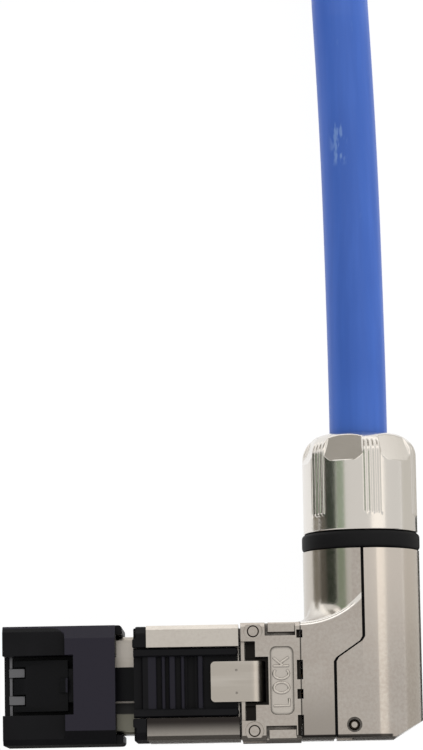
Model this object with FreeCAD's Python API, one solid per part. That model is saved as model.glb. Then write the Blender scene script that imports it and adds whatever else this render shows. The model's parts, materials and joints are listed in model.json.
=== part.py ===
import FreeCAD, Part
import math
import os

V = FreeCAD.Vector

# The plug lies on its underside, nose towards -X, latch side up, and its cable leaves towards +Y.
# The origin is on the resting surface, below the crossing of the plug axis and the neck axis.

# Heights and widths of the metal casing
neck_lift = 0.2
side_wall = 1.95
cover_proud = 0.15
housing_rear_y = 7.0
front_body_drop = 0.3
wall = 1.6
edge_bevel = 0.5

# Lengths along the plug axis, from the neck axis towards the nose
housing_front = 7.55
cover_length = 7.1
body_gap = 0.25
joint_gap = 0.06
joint_depth = 3.0
joint_spans = ((5.05, 6.0), (0.1, 2.4), (-2.2, -1.05), (-6.6, -4.1))
front_body_length = 11.0
collar_length = 1.65
nose_length = 15.0

# The eight-way nose
nose_width = 11.68
nose_height = 6.6
nose_drop = 11.8
shell_wall = 0.25
shell_tail = 2.6
shell_play = 0.03
shell_bar = 0.4
shell_window_length = 8.7
shell_window_half = 4.6
strap_length = 1.9
strap_half_gap = 1.1
strap_width = 1.09
carrier_play = 0.05
blade_pitch = 1.02
blade_count = 8
blade_thickness = 0.35
blade_slot = 0.55
blade_length = 7.9
blade_inset = 0.6
blade_height = 2.3

# The board and the terminal block
board_height = 2.3
board_thickness = 0.8
board_nose_half = 4.6
board_margin = 0.65
board_nose_reach = 3.55
board_play = 0.05
block_play = 0.15
terminal_pitch = 2.2
terminal_plate = 0.35
terminal_half = 0.9
block_overlap = 4.4

# The protective cap
cap_wall = 1.11
cap_low_drop = 2.1
cap_top_drop = 1.0
cap_front_wall = 0.6
cap_bevel = 1.6
cap_rear_gap = 2.1
cap_window_half = 3.55
cap_window_length = 8.5
cap_clearance = 0.15
cap_cheek_length = 7.45
cap_cheek_drop = 0.9
cap_cheek_round = 1.4
cap_lobe = 0.8
cap_lobe_round = 0.45
cap_roof = 0.8

# The latch and its lever
lever_half_width = 4.08
lever_side_gap = 0.12
lever_rail = 0.98
lever_rail_drop = 0.5
lever_floor_drop = 1.5
lever_floor_thickness = 1.0
lever_rib_height = 0.6
latch_half_width = 3.05
tail_half_width = 2.0
latch_wide_length = 6.6
channel_drop = 4.7
rib_stations = ((0.95, 1.8), (3.3, 0.5), (4.2, 0.8), (5.6, 0.5), (7.6, 0.7))

# The lock block, its pins and its clip
pin_radius = 0.68
pin_play = 0.02
pin_inset_x = 1.5
pin_inset_y = 1.05
pin_recess_radius = 1.1
pin_recess_depth = 0.25
tunnel_height = 6.5
tunnel_drop = 0.2
pad_length = 2.8
pad_inset = 2.9
pad_depth = 0.3
pad_corner = 0.7
pad_rear = 0.85
pocket_inset = 1.6
pocket_gap = 0.45
pocket_depth = 2.0
corner_hole_inset = 2.25
corner_hole_floor = 0.5
clip_sheet = 0.4
clip_half_width = 2.4
clip_drop = 0.4
clip_front_reach = 3.6
clip_bend = 1.7
clip_leg_length = 2.7
clip_room = 0.45
clip_foot_gap = 0.1

# The angled housing, its rear cover and their hinge
seam_gap = 0.34
seam_low_x = -3.5
seam_high_x = -0.05
seam_low_y = 2.4
seam_high_y = 4.85
shoulder_radius = 9.8
neck_end = 15.65
seal_room = 2.1
spigot_step = 1.05
spigot_length = 8.75
spigot_wall = 0.4
cover_flat_x = 1.6
cover_corner_x = 3.6
cover_corner_y = -3.75
hinge_x = -1.36
hinge_y = -5.35
hinge_hole_radius = 0.9
hinge_pin_radius = 0.6
hinge_play = 0.03
knuckle_radius = 1.3
knuckle_gap = 0.1
knuckle_inset = 4.0

# The gland on the neck
seal_ring_proud = 0.07
seal_ring_length = 2.1
ring_gap = 0.05
nut_wall = 0.93
nut_flange_proud = 0.06
nut_flange_length = 2.2
nut_length = 12.05
nut_mouth_play = 0.3
nut_dome_length = 2.8
nut_end_wall = 1.0
nut_seat_width = 0.9
nut_cone_length = 2.3
nut_facet_depth = 1.45
nut_thread_play = 0.05
nut_panel_depth = 0.16
nut_land_angle = 18.8
nut_lands = 6
nut_land_turn = 12.0
nut_groove = 0.2
nut_groove_depth = 0.26

# The cable
cable_diameter = 7.0
cable_play = 0.1
thrust_ring_length = 0.7
sheath_thickness = 0.5
core_diameter = 1.05
core_ring_radius = 1.52
core_corner_pitch = 1.5
core_end_gap = 0.5
core_row_height = 1.75
shield_start_y = 6.0
shield_cone = 1.0
shield_core_radius = 2.2
cable_start_y = 14.1

# The put-away coil and the plug on the cable's other end
coil_mean_radius = 35.0
coil_centre_y = 133.0
coil_layers = 2
coil_climb_angle = 120.0
coil_facet_angle = 15.0
coil_end_angle = 363.0
coil_slack = 0.3
far_nose_length = 21.5
far_boot_length = 13.0

cable_radius = cable_diameter / 2
shield_radius = cable_radius - sheath_thickness
neck_bore = cable_radius + seal_room
spigot_radius = neck_bore + spigot_wall
neck_radius = spigot_radius + spigot_step
neck_axis_z = neck_radius + neck_lift
body_height = neck_axis_z + neck_radius
board_half = 1.5 * terminal_pitch + terminal_half + board_margin
tunnel_half_width = board_half + block_play
cover_half_width = tunnel_half_width + side_wall
body_half_width = cover_half_width - cover_proud
housing_x = -housing_front
cover_rear_x = housing_x - joint_gap
cover_front_x = cover_rear_x - cover_length
body_rear_x = cover_front_x - body_gap
body_front_x = body_rear_x - front_body_length
collar_front_x = body_front_x - collar_length
nose_front_x = collar_front_x - nose_length
nose_bottom = body_height - nose_drop
nose_top = nose_bottom + nose_height
nose_half = nose_width / 2
body_top = body_height - front_body_drop
board_bottom = nose_bottom + board_height
board_top = board_bottom + board_thickness
tunnel_bottom = nose_bottom - tunnel_drop
tunnel_top = tunnel_bottom + tunnel_height
cap_half_width = nose_half + cap_clearance + cap_wall
cap_front_x = nose_front_x - cap_front_wall
cap_rear_x = collar_front_x - cap_rear_gap
cap_bottom = nose_bottom - cap_low_drop
cap_top = body_height - cap_top_drop
channel_half = lever_half_width + lever_side_gap
channel_floor = body_height - channel_drop
lever_rail_top = body_height - lever_rail_drop
lever_floor_top = body_height - lever_floor_drop
lever_floor_bottom = lever_floor_top - lever_floor_thickness
lever_rib_top = lever_floor_top + lever_rib_height
clip_top = body_height - clip_drop
clip_leg_foot = clip_top - clip_leg_length
clip_seat = clip_leg_foot - clip_foot_gap
pin_x = cover_front_x + pin_inset_x
pin_y = cover_half_width - pin_inset_y
pad_half_width = cover_half_width - pad_inset
clip_end_x = cover_front_x + clip_bend + 1.2
spigot_end = neck_end + spigot_length
seal_ring_radius = neck_radius + seal_ring_proud
nut_bore = spigot_radius + nut_thread_play
nut_radius = nut_bore + nut_wall
nut_flange = nut_radius + nut_flange_proud
nut_mouth = cable_radius + nut_mouth_play
nut_seat_radius = nut_mouth + nut_seat_width
nut_start = neck_end + seal_ring_length + 2 * ring_gap
nut_end = nut_start + nut_length
cable_route = (
    (0.0, cable_start_y, neck_axis_z),
    (0.0, 40.0, neck_axis_z),
    (-0.35, 68.0, 4.4),
    (-1.4, 92.0, 3.52),
    (-1.4, 109.0, 3.52),
)


def block(x0, x1, y0, y1, z0, z1):
    """Box between two corners."""
    return Part.makeBox(x1 - x0, y1 - y0, z1 - z0, V(x0, y0, z0))


def rod(radius, start, end):
    """Cylinder between two points."""
    a = V(*start)
    b = V(*end)
    return Part.makeCylinder(radius, (b - a).Length, a, b - a)


def plan(points, z0, z1):
    """Upright prism over a plan outline."""
    wire = Part.makePolygon([V(x, y, z0) for x, y in points] + [V(points[0][0], points[0][1], z0)])
    return Part.Face(wire).extrude(V(0, 0, z1 - z0))


def side(points, half_width):
    """Prism across the plug, from an outline in length and height."""
    first = V(points[0][0], -half_width, points[0][1])
    wire = Part.makePolygon([V(x, -half_width, z) for x, z in points] + [first])
    return Part.Face(wire).extrude(V(0, 2 * half_width, 0))


def turned(points, angle=360.0):
    """Turned ring about the neck axis, from an outline in length and radius."""
    outline = [V(0, y, neck_axis_z + r) for y, r in points]
    face = Part.Face(Part.makePolygon(outline + [outline[0]]))
    return face.revolve(V(0, 0, neck_axis_z), V(0, 1, 0), angle)


def spun(shape, angle):
    """Copy of a shape, turned about the neck axis."""
    copy = shape.copy()
    copy.rotate(V(0, 0, neck_axis_z), V(0, 1, 0), angle)
    return copy


def mirrored(shape):
    """Copy on the other side of the plug's middle plane."""
    return shape.mirror(V(0, 0, 0), V(0, 1, 0))


def both_sides(shape):
    """The shape and its copy on the other side."""
    return [shape, mirrored(shape)]


def joined(shapes):
    """One solid from touching shapes, without inner seams."""
    result = shapes[0]
    if len(shapes) > 1:
        result = shapes[0].multiFuse(list(shapes[1:]))
    return result.removeSplitter()


def minus(shape, tools):
    """The shape with every tool cut from it."""
    return shape.cut(list(tools))


def long_edges(shape, direction, test):
    """Straight edges along the given direction whose middle passes the test."""
    found = []
    for edge in shape.Edges:
        if len(edge.Vertexes) != 2:
            continue
        step = edge.Vertexes[1].Point - edge.Vertexes[0].Point
        if step.Length < 1e-6 or abs(step.normalize().dot(direction)) < 0.999:
            continue
        if test(edge.CenterOfMass):
            found.append(edge)
    return found


def rounded_pad(x0, x1, half_width, z0, z1, corner):
    """Upright prism with a rounded rectangular plan."""
    pad = block(x0, x1, -half_width, half_width, z0, z1)
    return pad.makeFillet(corner, long_edges(pad, V(0, 0, 1), lambda p: True))


def solids_group(shapes):
    """Separate like pieces kept in one file."""
    return Part.makeCompound(list(shapes))


def blade_rows():
    """Positions of the eight ways across the plug."""
    first = -(blade_count - 1) / 2 * blade_pitch
    return [first + i * blade_pitch for i in range(blade_count)]


def dust_cap():
    outer = block(cap_front_x, cap_rear_x, -cap_half_width, cap_half_width, cap_bottom, cap_top)
    outer = outer.makeChamfer(cap_bevel, long_edges(outer, V(1, 0, 0), lambda p: True))
    lobe_inner = nose_half + cap_clearance
    lobe_low = nose_bottom - 0.3
    lobe_high = nose_top + 2.3
    lobe = block(cap_rear_x, cap_rear_x + cap_lobe, lobe_inner, cap_half_width, lobe_low, lobe_high)
    rear_corner = long_edges(lobe, V(0, 0, 1), lambda p: p.x > cap_rear_x + 0.1 and p.y > lobe_inner + 0.1)
    lobe = lobe.makeFillet(cap_lobe_round, rear_corner)
    body = joined([outer] + both_sides(lobe))
    nose_room = block(
        nose_front_x, cap_rear_x + cap_lobe, -lobe_inner, lobe_inner,
        nose_bottom - cap_clearance, nose_top + cap_clearance,
    )
    latch_room = block(
        nose_front_x, cap_rear_x + cap_lobe, -latch_half_width - 0.35, latch_half_width + 0.35,
        nose_top, cap_top - cap_roof,
    )
    window = block(
        cap_front_x, cap_front_x + cap_window_length, -cap_window_half, cap_window_half,
        nose_top, cap_top,
    )
    cheek = block(
        cap_front_x, cap_front_x + cap_cheek_length, cap_window_half, cap_half_width,
        cap_top - cap_cheek_drop, cap_top,
    )
    rear_outer = long_edges(cheek, V(0, 0, 1), lambda p: p.x > cap_front_x + 1 and p.y > cap_window_half + 1)
    cheek = cheek.makeFillet(cap_cheek_round, rear_outer)
    slot = block(cap_front_x + 1.2, cap_rear_x - 1.2, -2.2, 2.2, cap_bottom, cap_bottom + 0.35)
    return minus(body, [nose_room, latch_room, window, slot] + both_sides(cheek))


def plug_shield():
    outer = block(nose_front_x, body_front_x + shell_tail, -nose_half, nose_half, nose_bottom, nose_top)
    outer = outer.makeFillet(0.5, long_edges(outer, V(1, 0, 0), lambda p: True))
    inner = block(
        nose_front_x, body_front_x + shell_tail, -nose_half + shell_wall, nose_half - shell_wall,
        nose_bottom + shell_wall, nose_top - shell_wall,
    )
    inner = inner.makeFillet(0.25, long_edges(inner, V(1, 0, 0), lambda p: True))
    mouth_half = blade_count / 2 * blade_pitch + 0.27
    blade_mouth = block(
        nose_front_x, nose_front_x + blade_length + 0.1, -mouth_half, mouth_half,
        nose_bottom, nose_bottom + shell_wall,
    )
    top_window = block(
        nose_front_x + shell_bar, nose_front_x + shell_window_length, -shell_window_half, shell_window_half,
        nose_top - shell_wall, nose_top,
    )
    strap = block(
        nose_front_x, nose_front_x + strap_length, strap_half_gap, strap_half_gap + strap_width,
        nose_top - shell_wall, nose_top + 0.5,
    )
    slit = block(
        collar_front_x - 5.5, collar_front_x - 1.5, nose_half - shell_wall, nose_half,
        nose_bottom + 2.1, nose_bottom + 2.3,
    )
    slits = both_sides(slit) + both_sides(slit.translated(V(0, 0, 2.2)))
    shell = minus(outer, [inner, blade_mouth, top_window] + slits)
    return joined([shell] + both_sides(strap))


def contact_carrier():
    half = nose_half - shell_wall - carrier_play
    low = nose_bottom + shell_wall + carrier_play
    high = nose_top - shell_wall - carrier_play
    x0 = nose_front_x + 2 * carrier_play
    body = block(x0, collar_front_x - 0.4, -half, half, low, high)
    body = body.makeChamfer(0.3, long_edges(body, V(1, 0, 0), lambda p: True))
    slot_end = nose_front_x + blade_inset + blade_length + 2 * carrier_play
    slots = [
        block(x0, slot_end, y - blade_slot / 2, y + blade_slot / 2, low, low + blade_height + 0.3)
        for y in blade_rows()
    ]
    board_slot = block(
        collar_front_x - board_nose_reach - board_play, collar_front_x,
        -board_nose_half - board_play, board_nose_half + board_play,
        board_bottom - board_play, board_top + board_play,
    )
    return minus(body, slots + [board_slot])


def blade_outline(x0, low):
    """Side outline of one blade, its foot bent down to the jack's springs."""
    x1 = x0 + blade_length
    high = low + blade_height
    return ((x0, high), (x0, low + 1.0), (x0 + 0.9, low), (x0 + 4.2, low), (x0 + 4.8, low + 0.7),
            (x1, low + 0.7), (x1, high))


def contact_blades():
    low = nose_bottom + shell_wall + 2 * carrier_play
    one = side(blade_outline(nose_front_x + blade_inset, low), blade_thickness / 2)
    return solids_group([one.translated(V(0, y, 0)) for y in blade_rows()])


def circuit_board():
    step_x = body_front_x + shell_tail + 0.1
    x0 = collar_front_x - board_nose_reach
    nose_part = block(x0, step_x, -board_nose_half, board_nose_half, board_bottom, board_top)
    wide_part = block(step_x, cover_front_x + 0.6, -board_half, board_half, board_bottom, board_top)
    return joined([nose_part, wide_part])


def idc_rows():
    """Stations across the plug and sides of the board, 1 above and -1 below, of the eight terminals."""
    stations = [(i - 1.5) * terminal_pitch for i in range(4)]
    return [(y, 1) for y in stations] + [(y, -1) for y in stations]


def core_height(way):
    """Height of the cores that reach the terminals above or below the board."""
    return board_bottom + board_thickness / 2 + way * core_row_height


def terminal_span(way):
    """Lowest and highest point of the terminals above or below the board."""
    if way > 0:
        return board_top + 0.25, tunnel_top - 0.1
    return tunnel_bottom + 0.1, board_bottom - 0.25


def idc_block():
    x0 = body_rear_x - block_overlap
    x1 = cover_front_x + 0.7
    half = tunnel_half_width - 0.1
    body = block(x0, x1, -half, half, tunnel_bottom + 0.1, tunnel_top - 0.1)
    board_room = board_half + 0.02
    cuts = [block(x0 - 1, x1 + 1, -board_room, board_room, board_bottom - 0.02, board_top + 0.02)]
    for y, way in idc_rows():
        z0, z1 = terminal_span(way)
        cuts.append(block(x0 + 2.2, x1, y - 0.6, y + 0.6, z0 + 0.3, z1 - 0.3))
        plate_half = terminal_half + 0.05
        cuts.append(block(x0 + 3.0, x0 + 3.1 + terminal_plate, y - plate_half, y + plate_half, z0, z1))
    return minus(body, cuts)


def idc_terminals():
    x0 = body_rear_x - block_overlap + 3.05
    pieces = []
    for y, way in idc_rows():
        z0, z1 = terminal_span(way)
        plate = block(x0, x0 + terminal_plate, y - terminal_half, y + terminal_half, z0 + 0.05, z1 - 0.05)
        gap = block(x0 - 1, x0 + 2, y - 0.16, y + 0.16, z0 + 0.6, z1)
        pieces.append(minus(plate, [gap]))
    return solids_group(pieces)


def wire_manager():
    x0 = cover_front_x + 0.8
    x1 = housing_x + 1.6
    low = tunnel_bottom + 0.15
    high = tunnel_top - 0.15
    half = tunnel_half_width - 0.15
    body = block(x0, x1, -half, half, low, high)
    body = body.makeChamfer(0.5, long_edges(body, V(1, 0, 0), lambda p: True))
    cuts = []
    room = core_diameter / 2 + 0.05
    for y, way in idc_rows():
        z = core_height(way)
        z0, z1 = (z - room, high + 1) if way > 0 else (low - 1, z + room)
        cuts.append(block(x0 - 1, x1 + 1, y - room, y + room, z0, z1))
    return minus(body, cuts)


def front_collar():
    low = 0.35
    high = body_top - 0.1
    half = body_half_width - 0.05
    body = block(collar_front_x, body_front_x, -half, half, low, high)
    body = body.makeChamfer(0.9, long_edges(body, V(1, 0, 0), lambda p: True))
    nose_hole = block(
        collar_front_x - 1, body_front_x + 1, -nose_half - shell_play, nose_half + shell_play,
        nose_bottom - shell_play, nose_top + shell_play,
    )
    lever_slot = block(collar_front_x - 1, body_front_x + 1, -channel_half, channel_half, nose_top, high + 1)
    step = block(collar_front_x - 1, collar_front_x + 0.35, nose_half - 0.6, half + 1, nose_top + 1.2, high + 1)
    return minus(body, [nose_hole, lever_slot] + both_sides(step))


def latch_lever():
    root_x = nose_front_x + 0.55
    shoulder_x = root_x + latch_wide_length
    arm_low = nose_top + 0.12
    arm = ((root_x, arm_low), (shoulder_x, arm_low + 0.75), (shoulder_x, arm_low + 2.05),
           (root_x + 1.2, arm_low + 1.25), (root_x, arm_low + 0.75))
    tail = ((shoulder_x - 0.01, arm_low + 0.75), (collar_front_x, lever_floor_bottom - 0.6),
            (collar_front_x + 1.2, lever_floor_bottom), (collar_front_x + 1.2, lever_floor_top),
            (collar_front_x, lever_floor_top - 0.5), (shoulder_x - 0.01, arm_low + 1.85))
    wide = side(arm, latch_half_width)
    inner_room = block(root_x - 0.1, root_x + 1.5, 0.95, 2.35, nose_top - 1, nose_top + 3)
    root = minus(wide, both_sides(inner_room))
    shelf = side(((shoulder_x - 1.0, arm_low + 0.8), (shoulder_x, arm_low + 0.8),
                  (shoulder_x, arm_low + 2.6), (shoulder_x - 1.0, arm_low + 2.3)), 0.85)
    plate_x = collar_front_x + 0.1
    floor_end = cover_front_x - clip_front_reach + 3.2
    rear_x = body_rear_x - 0.08
    rail_low = lever_floor_bottom
    floor = block(plate_x, floor_end, -lever_half_width, lever_half_width, rail_low, lever_floor_top)
    rail = block(plate_x, rear_x, lever_half_width - lever_rail, lever_half_width, rail_low, lever_rail_top)
    rail = rail.makeFillet(0.42, long_edges(rail, V(0, 0, 1), lambda p: p.x > rear_x - 0.5))
    rail = rail.makeChamfer(0.15, long_edges(rail, V(1, 0, 0), lambda p: p.z > lever_rail_top - 0.1))
    ribs = []
    inner = lever_half_width - lever_rail
    for start, length in rib_stations:
        x = plate_x + start
        rib = block(x, x + length, -inner, inner, lever_floor_top, lever_rib_top)
        ribs.append(rib.makeChamfer(0.14, long_edges(rib, V(0, 1, 0), lambda p: p.z > lever_rib_top - 0.1)))
    window_x = plate_x + rib_stations[3][0] + rib_stations[3][1] + 0.25
    slot = block(window_x, window_x + 0.95, -inner, inner, lever_floor_top - 0.6, lever_floor_top)
    body = joined([root, side(tail, tail_half_width), shelf, floor] + both_sides(rail) + ribs)
    return minus(body, [slot])


def front_body():
    low = 0.15
    body = block(body_front_x, body_rear_x, -body_half_width, body_half_width, low, body_top)
    body = body.makeChamfer(edge_bevel, long_edges(body, V(1, 0, 0), lambda p: True))
    lever_channel = block(
        body_front_x - 1, body_rear_x + 1, -channel_half, channel_half, channel_floor, body_top + 1,
    )
    shell_seat = block(
        body_front_x - 1, body_front_x + shell_tail + 0.05, -nose_half - shell_play, nose_half + shell_play,
        nose_bottom - shell_play, nose_top + shell_play,
    )
    bore = block(
        body_front_x, body_rear_x + 1, -tunnel_half_width, tunnel_half_width, tunnel_bottom, tunnel_top,
    )
    ear = ear_block(0.0)
    hole = rod(pin_radius + pin_play, (pin_x, pin_y, -1), (pin_x, pin_y, body_height))
    shell = minus(body, [lever_channel, shell_seat, bore])
    return minus(joined([shell] + both_sides(ear)), both_sides(hole))


def ear_block(play):
    """Ear of the front body that a cover pin passes through; its notch in the lock block is larger."""
    y0 = tunnel_half_width + 0.05 - play
    y1 = body_half_width - 0.15 + play
    x1 = pin_x + 1.25 + play
    z0 = board_bottom - 0.3 - play
    z1 = tunnel_top - 0.3 + play
    return block(body_rear_x - 0.5 + play, x1, y0, y1 + 4 * play, z0, z1)


def lock_cover():
    body = block(cover_front_x, cover_rear_x, -cover_half_width, cover_half_width, 0, body_height)
    body = body.makeChamfer(edge_bevel, long_edges(body, V(1, 0, 0), lambda p: True))
    tunnel = block(
        cover_front_x - 1, cover_rear_x + 1, -tunnel_half_width, tunnel_half_width,
        tunnel_bottom, tunnel_top,
    )
    ear_notch = ear_block(0.08)
    cuts = [tunnel] + both_sides(ear_notch)
    top = body_height + 1
    cuts += both_sides(rod(pin_radius + pin_play, (pin_x, pin_y, -1), (pin_x, pin_y, top)))
    recess_floor = (pin_x, pin_y, body_height - pin_recess_depth)
    cuts += both_sides(rod(pin_recess_radius, recess_floor, (pin_x, pin_y, top)))
    sill_x = cover_front_x + 0.45
    sill_top = clip_top - clip_sheet - 0.05
    room_half = clip_half_width + clip_room
    hole_end_y = cover_half_width - corner_hole_inset
    hole_floor = tunnel_top + corner_hole_floor
    corner_hole = block(sill_x, cover_front_x + 1.7, room_half, hole_end_y, hole_floor, top)
    front_notch = block(cover_front_x - 1, sill_x, room_half, hole_end_y, sill_top, top)
    cuts += both_sides(corner_hole) + both_sides(front_notch)
    cuts.append(block(sill_x, clip_end_x + 0.35, -room_half, room_half, clip_seat, top))
    cuts.append(block(cover_front_x - 1, sill_x + 0.05, -room_half, room_half, sill_top, top))
    pad_x1 = cover_rear_x - pad_rear
    pad_x0 = pad_x1 - pad_length
    cuts.append(rounded_pad(pad_x0, pad_x1, pad_half_width, body_height - pad_depth, top, pad_corner))
    pocket_y = cover_half_width - pocket_inset
    pocket_x0 = cover_front_x + 2.9
    pocket_x1 = cover_rear_x - 0.6
    pocket = block(pocket_x0, pocket_x1, pocket_y, cover_half_width + 1, body_height - pocket_depth, top)
    tab = block(pocket_x0 + 0.35, pocket_x1, pocket_y + pocket_gap, cover_half_width, 0, body_height - 0.35)
    cuts += both_sides(minus(pocket, [tab]))
    return minus(body, cuts + joint_notches())


def joint_notches():
    """Sockets between the teeth of the lock block and the angled housing."""
    x0 = housing_x - 0.5
    x1 = housing_x + 0.22
    return [block(x0, x1, y0, y1, body_height - joint_depth, body_height + 1) for y0, y1 in joint_spans]


def cover_pin(y):
    top = body_height - 0.08
    pin = rod(pin_radius, (pin_x, y, 0.4), (pin_x, y, top - 0.3))
    head = Part.makeCone(pin_radius, pin_radius - 0.12, 0.3, V(pin_x, y, top - 0.3))
    return joined([pin, head])


def lock_clip():
    x0 = cover_front_x - clip_front_reach
    x1 = clip_end_x
    top = clip_top
    inner = clip_bend - clip_sheet
    y = -clip_half_width
    s = math.sqrt(0.5)
    centre = V(x1 - clip_bend, y, top - clip_bend)
    wire = Part.Wire([
        Part.LineSegment(V(x0, y, top), V(centre.x, y, top)).toShape(),
        Part.Arc(V(centre.x, y, top), centre + V(clip_bend * s, 0, clip_bend * s),
                 V(x1, y, centre.z)).toShape(),
        Part.LineSegment(V(x1, y, centre.z), V(x1, y, clip_leg_foot)).toShape(),
        Part.LineSegment(V(x1, y, clip_leg_foot), V(x1 - clip_sheet, y, clip_leg_foot)).toShape(),
        Part.LineSegment(V(x1 - clip_sheet, y, clip_leg_foot), V(x1 - clip_sheet, y, centre.z)).toShape(),
        Part.Arc(V(x1 - clip_sheet, y, centre.z), centre + V(inner * s, 0, inner * s),
                 V(centre.x, y, top - clip_sheet)).toShape(),
        Part.LineSegment(V(centre.x, y, top - clip_sheet), V(x0, y, top - clip_sheet)).toShape(),
        Part.LineSegment(V(x0, y, top - clip_sheet), V(x0, y, top)).toShape(),
    ])
    clip = Part.Face(wire).extrude(V(0, 2 * clip_half_width, 0))
    clip = clip.makeFillet(0.5, long_edges(clip, V(0, 0, 1), lambda p: p.x < x0 + 0.1))
    dimple = rod(0.14, (cover_front_x - 0.55, 1.35, top - 0.15), (cover_front_x - 0.55, 1.35, top + 1))
    return minus(clip, both_sides(dimple))


def seam_outline(offset):
    """Seam between the housing and its rear cover in plan, from the low end to the neck, moved along X."""
    return [
        (seam_low_x + offset, -20.0),
        (seam_low_x + offset, seam_low_y - 0.25),
        (seam_low_x + offset + 0.3, seam_low_y + 0.25),
        (seam_high_x + offset - 0.3, seam_high_y - 0.25),
        (seam_high_x + offset, seam_high_y + 0.25),
        (seam_high_x + offset, 40.0),
    ]


def gland_bore():
    """Bore of the neck that the sealing sleeve fills."""
    return rod(neck_bore, (0, 3.0, neck_axis_z), (0, 60, neck_axis_z))


def spigot():
    """Outer form of the neck's threaded end; the thread's crests are its outside."""
    chamfer = 0.4
    return turned(((neck_end - 1, 0), (neck_end - 1, spigot_radius), (spigot_end - chamfer, spigot_radius),
                   (spigot_end, spigot_radius - chamfer), (spigot_end, 0)))


def elbow_room():
    """Hollow of the elbow that the cores pass through."""
    return block(
        housing_x - 1, neck_radius - wall, -tunnel_half_width, neck_bore,
        tunnel_bottom, body_height - 2.0,
    )


def angled_housing():
    arc_x = seam_high_x
    sweep = math.asin((arc_x - housing_x) / shoulder_radius)
    half = sweep / 2
    y0 = housing_rear_y

    def on_arc(angle):
        rise = shoulder_radius * (1 - math.cos(angle))
        return V(housing_x + shoulder_radius * math.sin(angle), y0 + rise, 0)

    wire = Part.Wire([
        Part.LineSegment(V(housing_x, -body_half_width, 0), V(arc_x, -body_half_width, 0)).toShape(),
        Part.LineSegment(V(arc_x, -body_half_width, 0), on_arc(sweep)).toShape(),
        Part.Arc(on_arc(sweep), on_arc(half), on_arc(0)).toShape(),
        Part.LineSegment(on_arc(0), V(housing_x, -body_half_width, 0)).toShape(),
    ])
    slab = Part.Face(wire).extrude(V(0, 0, body_height))
    rim = [
        e for e in slab.Edges
        if abs(e.CenterOfMass.z - body_height / 2) > body_height / 2 - 0.01 and len(e.Vertexes) == 2
        and not isinstance(e.Curve, Part.Line)
    ]
    slab = slab.makeFillet(0.55, rim)
    bottom = long_edges(slab, V(1, 0, 0), lambda p: p.y < 0)
    slab = slab.makeFillet(edge_bevel, bottom)
    neck = rod(neck_radius, (0, 0, neck_axis_z), (0, neck_end, neck_axis_z))
    outer = joined([slab, neck, spigot()])
    cover_side = seam_outline(-seam_gap / 2) + [(30.0, 40.0), (30.0, -20.0)]
    half_shell = minus(outer, [plan(cover_side, -1, body_height + 1)])
    half_shell = minus(half_shell, [elbow_room(), gland_bore()] + joint_notches())
    low = knuckle_inset
    high = body_height - knuckle_inset
    lug = block(seam_low_x - 1.5, hinge_x, hinge_y - knuckle_radius, hinge_y + 1.0, low, high)
    knuckle = rod(knuckle_radius, (hinge_x, hinge_y, low), (hinge_x, hinge_y, high))
    hole = rod(hinge_pin_radius + hinge_play, (hinge_x, hinge_y, -1), (hinge_x, hinge_y, body_height + 1))
    return minus(joined([half_shell, lug, knuckle]), [hole])


def rear_cover():
    y = -body_half_width
    left = seam_low_x - 2
    section = Part.Wire([
        Part.LineSegment(V(left, y, 0), V(cover_flat_x, y, 0)).toShape(),
        Part.Arc(V(cover_flat_x, y, 0), V(neck_radius, y, body_height / 2),
                 V(cover_flat_x, y, body_height)).toShape(),
        Part.LineSegment(V(cover_flat_x, y, body_height), V(left, y, body_height)).toShape(),
        Part.LineSegment(V(left, y, body_height), V(left, y, 0)).toShape(),
    ])
    shell = Part.Face(section).extrude(V(0, body_half_width + neck_end, 0))
    corner = plan(((cover_corner_x, -body_half_width - 0.01), (neck_radius + 1, cover_corner_y - 0.4),
                   (neck_radius + 1, -body_half_width - 2), (cover_corner_x, -body_half_width - 2)),
                  -1, body_height + 1)
    outer = joined([minus(shell, [corner]), spigot()])
    house_side = seam_outline(seam_gap / 2) + [(-30.0, 40.0), (-30.0, -20.0)]
    room = block(
        seam_low_x - 3, neck_radius - wall - 0.4, -body_half_width + wall, neck_bore,
        tunnel_bottom + 0.2, body_height - 2.2,
    )
    room_corner = plan(((cover_corner_x - 1.6, -body_half_width), (neck_radius, cover_corner_y + 0.9),
                        (neck_radius, -body_half_width)), -1, body_height + 1)
    low = knuckle_inset - knuckle_gap
    high = body_height - knuckle_inset + knuckle_gap
    knuckle_room = joined([
        rod(knuckle_radius + knuckle_gap, (hinge_x, hinge_y, low), (hinge_x, hinge_y, high)),
        block(seam_low_x - 3, hinge_x, hinge_y - knuckle_radius - 1.0, hinge_y + 1.1, low, high),
    ])
    pin_hole = rod(hinge_pin_radius + hinge_play, (hinge_x, hinge_y, -1), (hinge_x, hinge_y, body_height + 1))
    mouth_floor = (hinge_x, hinge_y, body_height - 0.9)
    pin_mouth = rod(hinge_hole_radius, mouth_floor, (hinge_x, hinge_y, body_height + 1))
    return minus(outer, [plan(house_side, -1, body_height + 1), minus(room, [room_corner]),
                         gland_bore(), knuckle_room, pin_hole, pin_mouth])


def hinge_pin():
    body = rod(hinge_pin_radius, (hinge_x, hinge_y, 0.3), (hinge_x, hinge_y, body_height - 0.65))
    tip = Part.makeCone(hinge_pin_radius, 0.35, 0.25, V(hinge_x, hinge_y, body_height - 0.65))
    return joined([body, tip])


def neck_seal():
    y0 = neck_end + ring_gap
    y1 = y0 + seal_ring_length
    r0 = spigot_radius + 0.02
    r1 = seal_ring_radius
    return turned(((y0, r0), (y0, r1), (y1, r1), (y1, r0)))


def nut_dome():
    """Outline of the nut's domed end, in length and radius."""
    start = nut_end - nut_dome_length
    reach = nut_radius - nut_mouth - 0.2
    steps = 3
    points = []
    for i in range(steps + 1):
        a = math.pi / 2 * i / steps
        points.append((start + nut_dome_length * math.sin(a), nut_radius - reach * (1 - math.cos(a))))
    return points


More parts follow.
